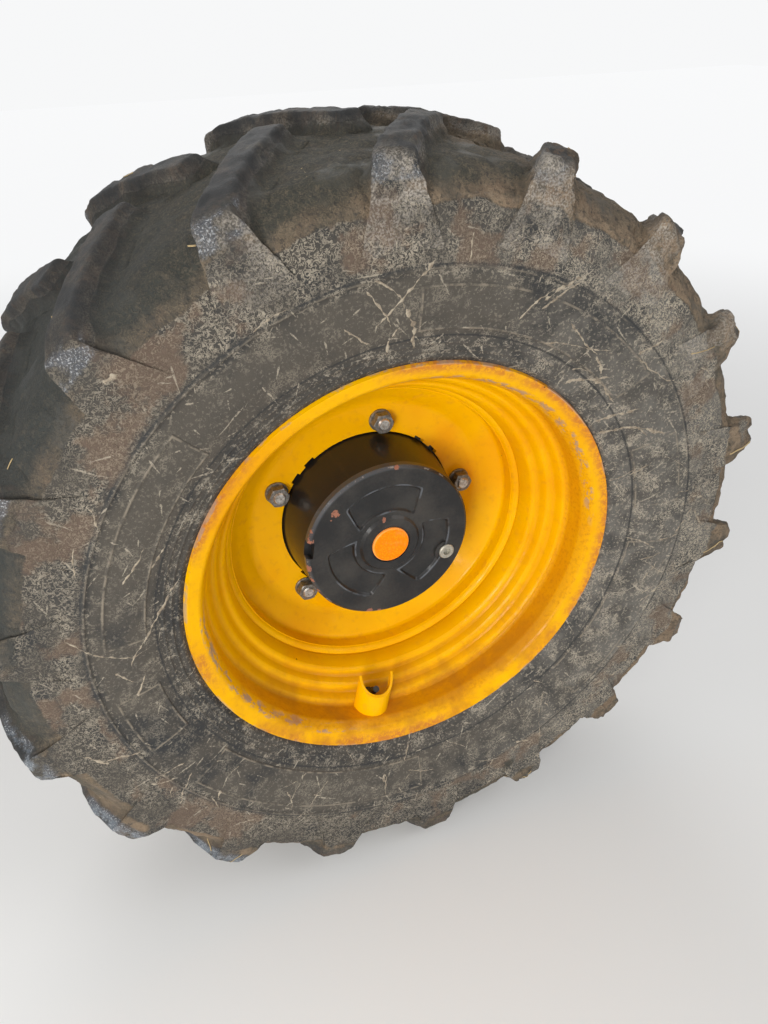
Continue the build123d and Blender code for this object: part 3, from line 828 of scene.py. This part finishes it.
lugs = {
    "count": 18,
    "firstAngle": 33,                   # degrees, of the outboard row
    "envelope": [                       # radius, depth, corner radius of the lugs' outer faces
        (0.462, 0.0048, 0.0),
        (0.525, 0.0004, 0.100),
        (0.555, 0.0020, 0.030),
        (0.578, 0.0092, 0.007),         # outer corner of a lug
        (0.591, 0.0440, 0.060),
        (0.598, 0.1200, 0.300),
        (0.5995, tyreWidth / 2, 0.600),
        (0.598, 0.3000, 0.0),
    ],
    "foot": [                           # radius and depth on the casing under each envelope row
        (0.463, 0.0030),
        (0.505, 0.0055),
        (0.524, 0.0068),
        (0.534, 0.0135),
        (0.562, 0.0440),
        (0.5695, 0.1240),
        (0.573, tyreWidth / 2),
        (0.5695, 0.2960),
    ],
    "bendDepth": 0.0135,                # where the lug turns from straight across to its slant
    "bendEase": 0.012,
    "slant": -0.634,                    # along the tread for each unit across it
    "noseDepth": 0.2115,
    "noseHeight": 0.036,
    "halfWidth": (0.0147, 0.0138),      # of the end and of the slanting run, at the width radius
    "widthRadius": 0.612,
    "draft": 0.268,
    "edgeRound": 0.0055,
    "footRound": 0.011,
    "wear": 0.0012,
    "clod": 0.0050,
}


def lugPatch(plan):
    envelope = roundedLine(sectioned(plan.envelope))
    envelopeLength = lengthsAlong(envelope)
    casingShape = casingLine()
    casingLength = lengthsAlong(casingShape)
    # matching lengths along the envelope and along the casing
    keyU, keyA = [], []
    for (radius, depth, _), (footRadius, footDepth) in zip(plan.envelope, plan.foot):
        place = np.array([radius, tyreStart + depth])
        keyU.append(envelopeLength[np.argmin(np.linalg.norm(envelope - place, axis=1))])
        foot = np.array([footRadius, tyreStart + footDepth])
        keyA.append(casingLength[np.argmin(np.linalg.norm(casingShape - foot, axis=1))])

    def lengthAtDepth(depth):
        after = (envelope[:, 1] > tyreStart + depth) & (envelope[:, 0] > 0.575)
        return envelopeLength[np.argmax(after)]

    tip = keyU[3]
    bend, nose = lengthAtDepth(plan.bendDepth), lengthAtDepth(plan.noseDepth)
    fineU = np.linspace(0, nose + 0.03, 800)
    slope = plan.slant * eased(fineU, bend - plan.bendEase, bend + plan.bendEase)
    fineT = np.concatenate([[0], np.cumsum((slope[1:] + slope[:-1]) / 2 * np.diff(fineU))])
    fineS = np.concatenate([[0], np.cumsum(np.hypot(np.diff(fineU), np.diff(fineT)))])
    noseS, tipS = np.interp(nose, fineU, fineS), np.interp(tip, fineU, fineS)

    stations = [0.0, 0.004, 0.010]
    stations += list(np.linspace(0.018, tipS - 0.016, 13))
    stations += list(np.linspace(tipS - 0.011, tipS + 0.011, 9))
    stations += list(np.linspace(tipS + 0.017, noseS - 0.012, 34))
    stations = np.array(stations)
    drops = np.zeros(len(stations))

    def flankRows(height, draft):
        # distance outward from the top's edge and drop below the top, from edge to foot
        edge, foot = min(plan.edgeRound, 0.25 * height), min(plan.footRound, 0.5 * height)
        rows = [(edge * (math.sin(a) - 1), edge * (1 - math.cos(a))) for a in np.radians([0, 25, 50, 75])]
        wall = rows[-1][0]
        for share in (0.2, 0.4, 0.6, 0.8, 1.0):
            drop = rows[3][1] + share * (height - foot - rows[3][1])
            rows.append((wall + draft * (drop - rows[3][1]), drop))
        out = rows[-1][0]
        for a in np.radians([25, 50, 75]):
            rows.append((out + foot * (1 - math.cos(a)) * 1.15, height - foot + foot * math.sin(a)))
        rows.append((rows[-1][0] + 0.35 * foot + 0.001, height + 0.0006))
        rows.append((rows[-1][0] + 0.002, height + 0.0022))
        return rows

    for out, drop in flankRows(plan.noseHeight, plan.draft):
        stations = np.append(stations, noseS + out)
        drops = np.append(drops, drop)
    u, t = np.interp(stations, fineS, fineU), np.interp(stations, fineS, fineT)
    over = np.maximum(stations - fineS[-1], 0)
    step = 0.0005
    wayU = np.interp(stations + step, fineS, fineU) - np.interp(stations - step, fineS, fineU)
    wayT = np.interp(stations + step, fineS, fineT) - np.interp(stations - step, fineS, fineT)
    size = np.hypot(wayU, wayT)
    wayU, wayT = wayU / size, wayT / size
    u, t = u + over * wayU, t + over * wayT

    topShares = (-1, -0.8, -0.55, -0.28, 0, 0.28, 0.55, 0.8, 1)
    grid, shares, crowns = [], [], []
    for place, along, dirU, dirT, noseDrop in zip(u, t, wayU, wayT, drops):
        outer = pointsAt(envelope, np.array([place]))[0]
        inner = pointsAt(casingShape, np.array([np.interp(place, keyU, keyA)]))[0]
        height = max(np.linalg.norm(outer - inner), 0.0004)
        run = eased(np.array([place]), bend - plan.bendEase, bend + plan.bendEase)[0]
        half = plan.halfWidth[0] * (1 - run) + plan.halfWidth[1] * run
        half += (plan.widthRadius - math.sqrt(outer[0] ** 2 - along ** 2)) * plan.draft
        flank = flankRows(height, plan.draft * (0.15 + 0.85 * run))
        side = [(half + out, drop) for out, drop in flank]
        top = [(share * side[0][0], 0.0) for share in topShares[1:-1]]
        rows = [(-out, drop) for out, drop in reversed(side)] + top + side
        offsets = np.array([row[0] for row in rows])
        drop = np.array([row[1] for row in rows])
        total = np.minimum(np.hypot(drop, noseDrop), np.maximum(np.maximum(drop, noseDrop), height))
        uRow = place - offsets * dirT
        tRow = along + offsets * dirU
        under = pointsAt(casingShape, np.interp(uRow, keyU, keyA))
        section = under + (1 - total / height)[:, None] * (pointsAt(envelope, uRow) - under)
        sink = np.where(total > height + 0.001, 0.0012, 0.0)
        sink = sink + 0.002 * (1 - eased(np.array([place]), 0, 0.02)[0])
        radius = section[:, 0] - sink * (0.4 if place < tip else 1)
        y = section[:, 1] + sink * (0.9 if place < tip else 0)
        grid.append(np.stack([np.sqrt(radius ** 2 - tRow ** 2), y, tRow], axis=1))
        share = np.clip(total / height, 0, 1)
        shares.append(share)
        crowns.append((1 - share) * eased(np.array([place]), tip - 0.01, tip + 0.02)[0])
    return np.array(grid), np.array(shares), np.array(crowns)


def makeLugs(name, plan, outboard):
    patch, depthShare, crownShare = lugPatch(plan)
    if not outboard:
        patch[..., 1] = otherSide(patch[..., 1])
    rows, columns = patch.shape[:2]
    pitch = 360 / plan.count
    allPoints, allFaces, looks = [], [], []
    for k in range(plan.count):
        angle = math.radians(plan.firstAngle + pitch * (k + (0 if outboard else 0.5)))
        cosine, sine = math.cos(angle), math.sin(angle)
        x, y, z = patch[..., 0], patch[..., 1], patch[..., 2]
        points = np.stack([x * cosine - z * sine, y, x * sine + z * cosine], axis=2)
        faces = gridFaces(rows, columns)
        if not outboard:
            faces = faces[:, ::-1]
        normals = gridNormals(points, faces)
        flat = points.reshape(-1, 3)
        large, small = lumps(flat, 0.055, (2, 5, 1), 3), lumps(flat, 0.013, (7, 3, 8), 3)
        share, crown = depthShare.ravel(), crownShare.ravel()
        radius = np.hypot(flat[:, 0], flat[:, 2])
        bay, pale, sunny = muddy(flat)
        foot = eased(share, 0.25, 0.80)
        band = eased(radius, 0.532, 0.538) * (1 - eased(radius, 0.552, 0.559)) * (1 - foot)
        face = 0.20 + 0.40 * large + 0.26 * band + 0.36 * sunny * bay - 0.16 * crown
        settled = 0.14 + 0.78 * bay + 0.22 * large
        mud = np.clip(face * (1 - foot) + settled * foot, 0, 1)
        tone = np.clip((0.22 + 0.50 * sunny + 0.35 * band) * (1 - foot) + pale * foot, 0, 1)
        # where the painted sheen, a bluish sky reflection, goes: upper left lug corners and the lowest lugs'
        # shoulders
        corner = eased(radius, 0.551, 0.557) * (1 - eased(radius, 0.577, 0.584))
        corner = corner * (1 - eased(share, 0.1, 0.4))
        around = np.arctan2(flat[:, 2], flat[:, 0])
        sheen = 0.6 * corner * eased(np.cos(around - math.radians(128)), 0.35, 0.8)
        lowerLeft = eased(np.cos(around - math.radians(212)), 0.82, 0.94) * (1 - eased(share, 0.3, 0.75))
        shoulder = eased(radius, 0.545, 0.570) * (1 - eased(flat[:, 1] - tyreStart, 0.03, 0.09))
        sheen = np.maximum(sheen, lowerLeft * shoulder)
        border = np.zeros((rows, columns), bool)
        border[0], border[-1], border[:, 0], border[:, -1] = True, True, True, True
        free = 1 - eased(share, 0.985, 1.0) * border.ravel()
        rugged = plan.wear * (1 + 2.6 * sunny * bay)
        offset = rugged * (small + 1.1 * lumps(flat, 0.027, (1, 8, 5), 2)) * free
        offset += plan.clod * np.clip(mud - 0.42, 0, 1) * free * (0.4 + 0.6 * foot)
        offset -= 0.0028 * eased(lumps(flat, 0.034, (4, 4, 9), 2), 0.25, 0.7) * (1 - foot) * free
        flat = keptIn(flat + normals * offset[:, None], 0.003)
        allFaces.append(faces + len(allPoints) * rows * columns)
        allPoints.append(flat)
        looks.append((mud, tone, crown, sheen, (1 - foot) * (1 - crown)))
    looks = dict(zip(("mud", "tone", "crown", "sheen", "rise"), np.concatenate(looks, axis=1)))
    points, faces = np.concatenate(allPoints), np.concatenate(allFaces).tolist()
    return makePiece(name, points, faces, tyreMaterial, 75, looks)


panels = {
    "places": [                         # from angle, to angle, from radius, to radius
        (38, 90, 0.380, 0.436),
        (134, 175, 0.383, 0.435),
        (187, 201, 0.383, 0.440),
        (214, 270, 0.378, 0.440),
        (312, 355, 0.374, 0.448),
        (5, 22, 0.374, 0.443),
    ],
    "profile": [                        # distance in from the border, height
        (-0.0030, -0.0012),
        (-0.0012, 0.0006),
        (-0.0002, 0.0017),
        (0.0014, 0.0017),
        (0.0026, 0.0008),
    ],
    "step": 0.007,
}


def makePanels(name, plan, outboard):
    line = casingLine()
    along = lengthsAlong(line)
    dense = np.linspace(0, along[-1] / 2, 4000)
    denseRadius = pointsAt(line, dense)[:, 0]
    borders = [row[0] for row in plan.profile]
    reach, tall = np.array(borders), np.array([row[1] for row in plan.profile])

    def lines(start, end):
        steps = max(2, round((end - start) / plan.step))
        inside = list(np.linspace(start + 0.006, end - 0.006, steps))
        return np.array([start + b for b in borders] + inside + [end - b for b in reversed(borders)])

    allPoints, allFaces, ridges, count = [], [], [], 0
    for fromAngle, toAngle, low, high in plan.places:
        if not outboard:
            fromAngle, toAngle = fromAngle + 17, toAngle + 17
        first, last = (dense[np.argmax(denseRadius > radius)] for radius in (low, high))
        s = lines(first, last)
        middle = (low + high) / 2
        arc = lines(math.radians(fromAngle) * middle, math.radians(toAngle) * middle)
        inS = np.minimum(s - first, last - s)
        inArc = np.minimum(arc - arc[0] - 0.003, arc[-1] - 0.003 - arc)
        inside = np.minimum(inArc[:, None], inS[None, :])
        height = np.interp(inside, reach, tall)
        section, normal = pointsAt(line, s), outwardAt(line, s)
        angle = arc / middle
        radius = section[:, 0] + normal[:, 0] * height
        y = section[:, 1] + normal[:, 1] * height
        points = spun(np.stack([radius, y if outboard else otherSide(y)], axis=2), angle)
        faces = gridFaces(len(arc), len(s), start=count)
        allFaces.append(faces if outboard else faces[:, ::-1])
        allPoints.append(points.reshape(-1, 3))
        ridges.append((height > 0.0012).ravel())
        count += len(arc) * len(s)
    points = np.concatenate(allPoints)
    looks = {"ridge": np.concatenate(ridges)}
    return makePiece(name, points, np.concatenate(allFaces).tolist(), tyreMaterial, 70, looks)


tyrePieces = [
    makeCasing(Plan(**casing)),
    makeLugs("lugsOutboard", Plan(**lugs), True),
    makeLugs("lugsInboard", Plan(**lugs), False),
    makePanels("panelsOutboard", Plan(**panels), True),
    makePanels("panelsInboard", Plan(**panels), False),
]
for piece in tyrePieces:
    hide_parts("tyre")
print("tyre made:", sum(len(piece.data.polygons) for piece in tyrePieces), "faces")


def treeOf(pieces):
    points, faces = [], []
    for piece in pieces:
        start = len(points)
        points += [vertex.co for vertex in piece.data.vertices]
        faces += [[start + corner for corner in face.vertices] for face in piece.data.polygons]
    return BVHTree.FromPolygons(points, faces)


tyreTree = treeOf(tyrePieces)

splashes = {
    "strokes": [                        # half width and places as angle and radius, in millimetres
        (2.2, ((68, 428), (66, 448), (63, 474))),
        (1.4, ((67.5, 416), (66, 433), (64, 456), (62.5, 471))),
        (1.5, ((60.5, 416), (57, 409), (53.5, 402), (50, 401))),
        (2.4, ((50.5, 400), (48, 395), (45.5, 388))),
        (2.0, ((52, 365), (51.2, 376), (48, 378))),
        (2.3, ((50.5, 343), (49.5, 358), (46, 377), (42, 379), (36.5, 376))),
        (1.2, ((46, 377), (44.8, 386), (43.6, 396))),
        (2.5, ((35, 342), (34.2, 363), (32.8, 385), (31.8, 408))),
        (2.7, ((31.5, 336), (30, 359), (29, 378), (26.5, 399), (22, 432))),
        (1.3, ((29, 378), (27.5, 392), (24, 402))),
        (2.0, ((43.6, 437), (42.4, 458), (41.8, 482))),
        (1.1, ((43.4, 436), (38.5, 441), (34, 454), (30, 479))),
        (1.1, ((32, 504), (28.6, 517))),
        (1.3, ((63, 378), (59.5, 389), (52, 403), (48, 418))),
        (1.3, ((4.7, 469), (4, 490), (1.6, 511))),
        (1.4, ((99, 448), (96.6, 418), (95, 392))),
        (1.3, ((97.8, 458), (95.6, 446), (93.5, 427), (92.6, 410))),
        (1.9, ((88, 469), (90.4, 447), (92.4, 431), (95, 415), (98.5, 397))),
        (3.0, ((93, 414), (91.7, 401), (91, 383), (90.5, 352))),
        (1.8, ((94, 392), (95.7, 372), (96.5, 355))),
        (1.3, ((103.4, 414), (101.5, 391), (99.2, 376))),
        (1.5, ((70.8, 396), (69, 426), (66.4, 449))),
        (1.2, ((82.6, 496), (83, 478), (82.8, 457))),
        (1.0, ((116, 460), (112, 466), (109.6, 461))),
        (1.4, ((162, 416), (158.5, 403), (153.5, 396))),
        (1.8, ((159.3, 382), (156.3, 376), (153.6, 371))),
        (1.1, ((171, 480), (174, 457), (176, 437), (178.3, 405), (177.4, 376))),
        (1.6, ((180.3, 409), (178.2, 402), (174.3, 380), (170, 365), (165.3, 351), (161.5, 340))),
        (1.3, ((148.5, 473), (150.3, 463), (152.4, 452))),
        (1.5, ((155, 479), (156.6, 474), (160.4, 469))),
        (1.6, ((180, 430), (182.4, 419), (184.6, 408))),
        (2.0, ((187.5, 414), (184.4, 400), (183, 394))),
        (3.6, ((133, 531), (132, 526), (130.6, 523))),
    ],
    "damp": (0.23, 0.185, 0.135),
    "dry": (0.42, 0.36, 0.275),
    "grit": (0.12, 0.10, 0.08),
    "loose": 80,                        # more of them all round, on both sides
    "seed": 8,
    "step": 0.0014,
    "height": 0.0008,
}


def makeSplashes(plan):
    # thrown mud dried in thin strokes on the flanks, laid there by rays along the axle
    draw = random.Random(plan.seed)
    strokes = [(half, places, -1) for half, places in plan.strokes]
    for number in range(plan.loose):
        outboard = number % 3 != 0
        angle = draw.uniform(196, 376) if outboard else draw.uniform(0, 360)
        radius, heading, reach = draw.uniform(352, 505), draw.uniform(-75, 75), draw.uniform(9, 34)
        across, inward = math.sin(math.radians(heading)) * reach, math.cos(math.radians(heading)) * reach
        bend = draw.uniform(-5, 5)
        places = [(angle + math.degrees((across * k + bend * (k * k - 1)) / radius), radius + inward * k)
                  for k in (-1, 0, 1)]
        strokes.append((draw.uniform(0.5, 1.7), places, -1 if outboard else 1))
    points, faces = [], []
    for half, places, side in strokes:
        angle, radius = np.array(places, float).T
        angle, radius = np.radians(angle), radius / 1000
        corners = np.stack([radius * np.cos(angle), radius * np.sin(angle)], axis=1)
        s = np.arange(0, lengthsAlong(corners)[-1], plan.step)
        path = pointsAt(corners, s)
        if len(path) > 14:
            padded = np.pad(path, ((6, 6), (0, 0)), "edge")
            path = np.stack([np.convolve(padded[:, k], np.ones(13) / 13, "valid") for k in (0, 1)], axis=1)
        spots = np.stack([path[:, 0], np.zeros(len(path)), path[:, 1]], axis=1)
        way = np.gradient(path, axis=0)
        way /= np.maximum(np.linalg.norm(way, axis=1), 1e-9)[:, None]
        normal = np.stack([-way[:, 1], way[:, 0]], axis=1)
        path = path + normal * (lumps(spots, 0.014, (half, 2, 6), 3) * 0.0022)[:, None]
        share = np.linspace(0, 1, len(path))
        width = half / 1000 * (0.3 + 0.7 * np.sin(math.pi * share) ** 0.6)
        width *= np.clip(0.75 + 1.5 * lumps(spots, 0.006, (5, half, 3), 2), 0.15, 1.7)
        width += half / 1000 * 0.7 * np.exp(-((share - 0.1) / 0.07) ** 2)
        width *= np.minimum(1, np.minimum(share, 1 - share) * 9 + 0.05)
        first, rows = len(points), 0
        for place, outward, wide in zip(path, normal, width):
            row = []
            for offset, lift in ((-1, -0.4), (-0.55, 0.6), (0, 1), (0.55, 0.6), (1, -0.4)):
                x, z = place + outward * offset * wide
                hit = tyreTree.ray_cast(Vector((x, side * 0.8 - 0.12, z)), Vector((0, -side, 0)))[0]
                if hit is not None:
                    row.append((x, hit.y + side * lift * plan.height * min(1, wide / 0.0012), z))
            if len(row) == 5:
                points += row
                rows += 1
        if rows > 1:
            found = gridFaces(rows, 5, start=first)
            faces += (found if side < 0 else found[:, ::-1]).tolist()
    makePiece("driedSplashes", keptIn(points, 0.0004), faces, splashPaint(plan), 80)


makeSplashes(Plan(**splashes))


straw = {
    "count": 90,
    "length": (0.012, 0.055),
    "width": (0.0007, 0.0016),
    "fresh": (0.50, 0.36, 0.17),
    "old": (0.30, 0.20, 0.10),
    "fibre": (0.62, 0.50, 0.28),
    "seed": 21,
}


def makeStraw(plan):
    # bits of straw that lie on the shoulder and the lugs, found by rays towards the tyre
    draw = random.Random(plan.seed)
    made, madeFaces = [], []
    rings, sides = 6, 5
    while len(made) < plan.count * rings * sides:
        angle, radius = math.radians(draw.uniform(0, 360)), draw.uniform(0.47, 0.62)
        y = draw.uniform(-0.33, 0.09)
        outward = Vector((math.cos(angle), 0, math.sin(angle)))
        flank = radius < 0.56
        origin = outward * (radius + 0.15) + Vector((0, y - (0.3 if flank else 0), 0))
        aim = outward * (radius if flank else 0.5) + Vector((0, -0.25 if flank else y, 0))
        hit, normal, _, _ = tyreTree.ray_cast(origin, (aim - origin).normalized())
        if hit is None:
            continue
        side = normal.cross(Vector([draw.uniform(-1, 1) for _ in range(3)])).normalized()
        across = normal.cross(side)
        length, width = draw.uniform(*plan.length), draw.uniform(*plan.width)
        curve = draw.uniform(-0.25, 0.25)
        first = len(made)
        for k in range(rings):
            share = k / (rings - 1) - 0.5
            middle = hit + side * (share * length) + across * (curve * length * share * share)
            found, local, _, _ = tyreTree.find_nearest(middle)
            middle = found + local * (width * 0.45 + 0.0006 * (1 - abs(share)))
            for m in range(sides):
                turn = 2 * math.pi * m / sides
                aside = middle + across * (math.cos(turn) * width)
                made.append(aside + normal * (math.sin(turn) * width * 0.6))
        madeFaces += (gridFaces(rings, sides, closedColumns=True) + first).tolist()
        last = first + (rings - 1) * sides
        madeFaces += [[first + m for m in range(sides)], [last + m for m in reversed(range(sides))]]
    makePiece("strawBits", keptIn(made, 0.0004), madeFaces, strawPaint(plan), 180)


makeStraw(Plan(**straw))
print("straw laid")


studio = {
    "floorHeight": -0.6,
    "floorSize": 30.0,
    "floor": (0.85, 0.845, 0.835),
    "floorShade": (0.80, 0.795, 0.785),
    "farFloor": (0.02, 0.02, 0.02),
    "farGlow": (0.905, 0.910, 0.916),
    "sky": (0.93, 0.935, 0.94),
    "world": 0.44,                      # strength of its light on the wheel
    "aim": (0, -0.1, 0),
    "lamps": [                          # place, size, power, colour
        ((-1.9, -2.5, 0.9), 1.4, 58, (1.0, 0.985, 0.96)),
        ((-1.13, -1.89, 0.30), 0.35, 10, (1.0, 0.99, 0.97)),
        ((2.4, -2.0, 2.0), 2.0, 24, (0.95, 0.975, 1.0)),
        ((0.5, 2.8, 2.4), 2.2, 45, (1.0, 1.0, 1.0)),
    ],
}


def makeStudio(plan):
    dark = plan.world
    sky = Paint("studio", "worlds", "Background", Color=plan.sky)
    sky.set(Strength=dark + (1 - dark) * sky.seen())        # plain white where it is seen
    scene.world = sky.made

    half, level = plan.floorSize / 2, plan.floorHeight
    mesh = bpy.data.meshes.new("floor")
    corners = ((-half, -half), (half, -half), (half, half), (-half, half))
    mesh.from_pydata([(x, y, level) for x, y in corners], [], [(0, 1, 2, 3)])
    paint = Paint("floor", Roughness=0.9, Specular_IOR_Level=0.1, Emission_Strength=1.0)
    x, y, _ = paint.spot().split()
    away = ((x * x + y * y) ** 0.5).step(0.9, 4.5)     # pales to the white of the background
    near = paint.mix(paint.noise(0.4, 2) * 0.3, plan.floor, plan.floorShade)
    paint.set(Base_Color=paint.mix(away, near, plan.farFloor),
              Emission_Color=paint.mix(away * paint.seen(), (0, 0, 0), plan.farGlow))
    mesh.materials.append(paint.made)
    floor = bpy.data.objects.new("floor", mesh)
    scene.collection.objects.link(floor)

    for number, (place, size, power, colour) in enumerate(plan.lamps):
        data = bpy.data.lights.new(f"lamp{number}", "AREA")
        data.size, data.energy, data.color = size, power, colour
        lamp = bpy.data.objects.new(f"lamp{number}", data)
        lamp.location = place
        lamp.rotation_euler = (Vector(plan.aim) - Vector(place)).to_track_quat("-Z", "Y").to_euler()
        scene.collection.objects.link(lamp)


makeStudio(Plan(**studio))
print("studio set")
